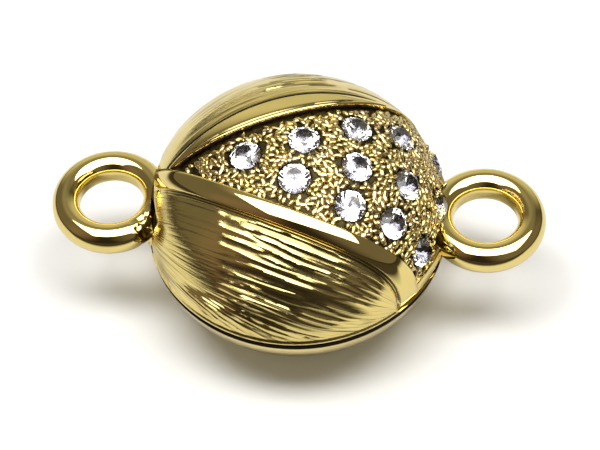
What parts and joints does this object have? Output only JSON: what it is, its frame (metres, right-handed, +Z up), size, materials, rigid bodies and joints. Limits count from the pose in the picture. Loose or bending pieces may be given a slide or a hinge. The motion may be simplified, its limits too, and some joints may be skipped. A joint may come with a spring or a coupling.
{
  "type": "magnetic clasp",
  "caption": "Ball-shaped magnetic jewellery clasp in cast halves with side rings, a polished and brushed dome and a sunk field of pave-set round stones.",
  "frame": {"origin": "middle of the small flat that the closed clasp rests on", "axes": "+Z up along the body's axis and the way that the halves part, X through the middles of the two rings, -Y towards the broad brushed side"},
  "size_m": [0.02, 0.012, 0.0091],
  "materials": {
    "gold": "polished pale gold plate, brushed and engraved between the bands",
    "magnet": "bright nickel plate",
    "crystal": "clear faceted crystal"
  },
  "bodies": {
    "lower": {"lower_half": "gold", "lower_magnet": "magnet"},
    "upper": {"upper_half": "gold", "upper_magnet": "magnet", "stone_01": "crystal", "stone_02": "crystal", "stone_03": "crystal", "stone_04": "crystal", "stone_05": "crystal", "stone_06": "crystal", "stone_07": "crystal", "stone_08": "crystal", "stone_09": "crystal", "stone_10": "crystal", "stone_11": "crystal", "stone_12": "crystal"}
  },
  "joints": [
    {"name": "clasp_pull", "type": "slide", "parent": "lower", "child": "upper", "axis": [0, 0, 1], "range_m": [0, 0.01]}
  ]
}
